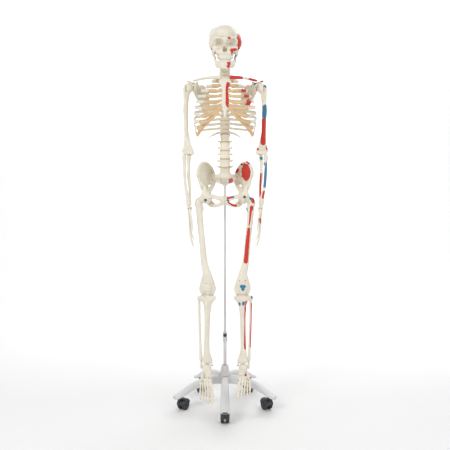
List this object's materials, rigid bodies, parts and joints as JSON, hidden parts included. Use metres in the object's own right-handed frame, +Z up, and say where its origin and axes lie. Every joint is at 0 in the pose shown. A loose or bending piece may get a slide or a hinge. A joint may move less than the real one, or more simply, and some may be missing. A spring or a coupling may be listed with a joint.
{
  "type": "anatomical skeleton model",
  "caption": "Life-size teaching skeleton in ivory plastic with painted muscle attachments, hung by the pelvis on a pole with a wheeled star base.",
  "frame": {"origin": "centre of the footprint at floor level", "axes": "+Z up along the pole, the skeleton faces -Y, its left side is +X"},
  "size_m": [0.484, 0.4768, 1.7635],
  "materials": {
    "bone": "satin moulded",
    "cartilage": "satin moulded",
    "base_grey": "smooth moulded",
    "pole": "light grey gloss",
    "caster_black": "moulded",
    "caster_wheel": "smooth tread",
    "knob": "moulded"
  },
  "bodies": {
    "stand": {"star_base": "base_grey", "hub_collar": "base_grey", "lower_pole": "pole", "clamp_sleeve": "pole"},
    "knob": {"clamp_knob": "knob"},
    "mast": {"upper_pole": "pole"},
    "trunk": {"sacrum": "bone", "hip_bone_left": "bone", "hip_bone_right": "bone", "lumbar_spine": "bone", "thoracic_segment_01": "bone", "thoracic_segment_02": "bone", "thoracic_segment_03": "bone", "thoracic_segment_04": "bone", "thoracic_segment_05": "bone", "thoracic_segment_06": "bone", "thoracic_segment_07": "bone", "thoracic_segment_08": "bone", "thoracic_segment_09": "bone", "thoracic_segment_10": "bone", "thoracic_segment_11": "bone", "thoracic_segment_12": "bone", "cervical_spine": "bone", "sternum_and_cartilage": "cartilage", "clavicle_left": "bone", "clavicle_right": "bone", "scapula_left": "bone", "scapula_right": "bone"},
    "skull": {"skull_base": "bone"},
    "calvaria": {"skull_cap": "bone"},
    "jaw": {"mandible": "bone"},
    "upper_arm_left": {"humerus_left": "bone"},
    "forearm_left": {"ulna_left": "bone"},
    "radius_left": {"radius_left": "bone"},
    "hand_left": {"hand_left": "bone"},
    "thigh_left": {"femur_left": "bone", "patella_left": "bone"},
    "shank_left": {"tibia_left": "bone", "fibula_left": "bone"},
    "foot_left": {"foot_left": "bone"},
    "upper_arm_right": {"humerus_right": "bone"},
    "forearm_right": {"ulna_right": "bone"},
    "radius_right": {"radius_right": "bone"},
    "hand_right": {"hand_right": "bone"},
    "thigh_right": {"femur_right": "bone", "patella_right": "bone"},
    "shank_right": {"tibia_right": "bone", "fibula_right": "bone"},
    "foot_right": {"foot_right": "bone"},
    "caster_1": {"caster_hood_1": "caster_black"},
    "caster_roll_1": {"caster_wheels_1": "caster_wheel"},
    "caster_2": {"caster_hood_2": "caster_black"},
    "caster_roll_2": {"caster_wheels_2": "caster_wheel"},
    "brake": {"brake_lever": "caster_black"},
    "caster_3": {"caster_hood_3": "caster_black"},
    "caster_roll_3": {"caster_wheels_3": "caster_wheel"},
    "caster_4": {"caster_hood_4": "caster_black"},
    "caster_roll_4": {"caster_wheels_4": "caster_wheel"},
    "caster_5": {"caster_hood_5": "caster_black"},
    "caster_roll_5": {"caster_wheels_5": "caster_wheel"}
  },
  "joints": [
    {"name": "mast_height", "type": "slide", "parent": "stand", "child": "mast", "axis": [0, 0, 1], "range_m": [0, 0.1]},
    {"name": "trunk_swivel", "type": "hinge", "parent": "mast", "child": "trunk", "pos_m": [0, 0.028, 1.03], "axis": [0, 0, 1], "range_deg": [-6, 6]},
    {"name": "clamp_screw", "type": "hinge", "parent": "stand", "child": "knob", "pos_m": [0, 0.008, 0.349], "axis": [0, -1, 0], "continuous": true},
    {"name": "skull_turn", "type": "hinge", "parent": "trunk", "child": "skull", "pos_m": [0, -0.01, 1.63], "axis": [0, 0, 1], "range_deg": [-45, 45]},
    {"name": "calvaria_lift", "type": "slide", "parent": "skull", "child": "calvaria", "axis": [0, 0, 1], "range_m": [0, 0.06]},
    {"name": "jaw_open", "type": "hinge", "parent": "skull", "child": "jaw", "pos_m": [0, -0.032, 1.641], "axis": [1, 0, 0], "range_deg": [0, 20], "stiffness_Nm_per_rad": 0.5, "springref_deg": -17.19},
    {"name": "shoulder_left", "type": "hinge", "parent": "trunk", "child": "upper_arm_left", "pos_m": [0.163, 0.013, 1.489], "axis": [-1, 0, 0], "range_deg": [-30, 120]},
    {"name": "elbow_left", "type": "hinge", "parent": "upper_arm_left", "child": "forearm_left", "pos_m": [0.17, 0.003, 1.2], "axis": [-1, 0, 0], "range_deg": [0, 130]},
    {"name": "forearm_turn_left", "type": "hinge", "parent": "forearm_left", "child": "radius_left", "pos_m": [0.185, 0.001, 1.179], "axis": [-0.116, -0.0629, -0.9913], "range_deg": [-60, 20]},
    {"name": "wrist_left", "type": "hinge", "parent": "radius_left", "child": "hand_left", "pos_m": [0.163, -0.029, 0.958], "axis": [0, 1, 0], "range_deg": [-50, 8]},
    {"name": "hip_left", "type": "hinge", "parent": "trunk", "child": "thigh_left", "pos_m": [0.09, -0.034, 0.999], "axis": [-1, 0, 0], "range_deg": [-3, 84]},
    {"name": "knee_left", "type": "hinge", "parent": "thigh_left", "child": "shank_left", "pos_m": [0.079, -0.062, 0.58], "axis": [1, 0, 0], "range_deg": [0, 20]},
    {"name": "ankle_left", "type": "hinge", "parent": "shank_left", "child": "foot_left", "pos_m": [0.084, -0.064, 0.224], "axis": [1, 0, 0], "range_deg": [-20, 20]},
    {"name": "shoulder_right", "type": "hinge", "parent": "trunk", "child": "upper_arm_right", "pos_m": [-0.163, 0.013, 1.489], "axis": [-1, 0, 0], "range_deg": [-30, 120]},
    {"name": "elbow_right", "type": "hinge", "parent": "upper_arm_right", "child": "forearm_right", "pos_m": [-0.17, 0.003, 1.2], "axis": [-1, 0, 0], "range_deg": [0, 130]},
    {"name": "forearm_turn_right", "type": "hinge", "parent": "forearm_right", "child": "radius_right", "pos_m": [-0.185, 0.001, 1.179], "axis": [-0.116, 0.0629, 0.9913], "range_deg": [-60, 20]},
    {"name": "wrist_right", "type": "hinge", "parent": "radius_right", "child": "hand_right", "pos_m": [-0.163, -0.029, 0.958], "axis": [0, -1, 0], "range_deg": [-50, 8]},
    {"name": "hip_right", "type": "hinge", "parent": "trunk", "child": "thigh_right", "pos_m": [-0.09, -0.034, 0.999], "axis": [-1, 0, 0], "range_deg": [-3, 84]},
    {"name": "knee_right", "type": "hinge", "parent": "thigh_right", "child": "shank_right", "pos_m": [-0.079, -0.062, 0.58], "axis": [1, 0, 0], "range_deg": [0, 12]},
    {"name": "ankle_right", "type": "hinge", "parent": "shank_right", "child": "foot_right", "pos_m": [-0.084, -0.064, 0.224], "axis": [1, 0, 0], "range_deg": [-25, 10]},
    {"name": "caster_swivel_1", "type": "hinge", "parent": "stand", "child": "caster_1", "pos_m": [0, -0.187, 0.07], "axis": [0, 0, 1], "continuous": true},
    {"name": "caster_spin_1", "type": "hinge", "parent": "caster_1", "child": "caster_roll_1", "pos_m": [0, -0.169, 0.025], "axis": [1, 0, 0], "continuous": true},
    {"name": "caster_swivel_2", "type": "hinge", "parent": "stand", "child": "caster_2", "pos_m": [0.20448, -0.03844, 0.07], "axis": [0, 0, 1], "continuous": true},
    {"name": "caster_spin_2", "type": "hinge", "parent": "caster_2", "child": "caster_roll_2", "pos_m": [0.19585, -0.02264, 0.025], "axis": [0.8776, 0.4794, 0], "continuous": true},
    {"name": "brake_pedal", "type": "hinge", "parent": "caster_2", "child": "brake", "pos_m": [0.18452, -0.0019, 0.04702], "axis": [0.8776, 0.4794, 0], "range_deg": [0, 15]},
    {"name": "caster_swivel_3", "type": "hinge", "parent": "stand", "child": "caster_3", "pos_m": [0.12637, 0.20194, 0.07], "axis": [0, 0, 1], "continuous": true},
    {"name": "caster_spin_3", "type": "hinge", "parent": "caster_3", "child": "caster_roll_3", "pos_m": [0.11936, 0.18536, 0.025], "axis": [-0.9211, 0.3894, 0], "continuous": true},
    {"name": "caster_swivel_4", "type": "hinge", "parent": "stand", "child": "caster_4", "pos_m": [-0.12637, 0.20194, 0.07], "axis": [0, 0, 1], "continuous": true},
    {"name": "caster_spin_4", "type": "hinge", "parent": "caster_4", "child": "caster_roll_4", "pos_m": [-0.11936, 0.18536, 0.025], "axis": [-0.9211, -0.3894, 0], "continuous": true},
    {"name": "caster_swivel_5", "type": "hinge", "parent": "stand", "child": "caster_5", "pos_m": [-0.20448, -0.03844, 0.07], "axis": [0, 0, 1], "continuous": true},
    {"name": "caster_spin_5", "type": "hinge", "parent": "caster_5", "child": "caster_roll_5", "pos_m": [-0.19585, -0.02264, 0.025], "axis": [0.8776, -0.4794, 0], "continuous": true}
  ]
}
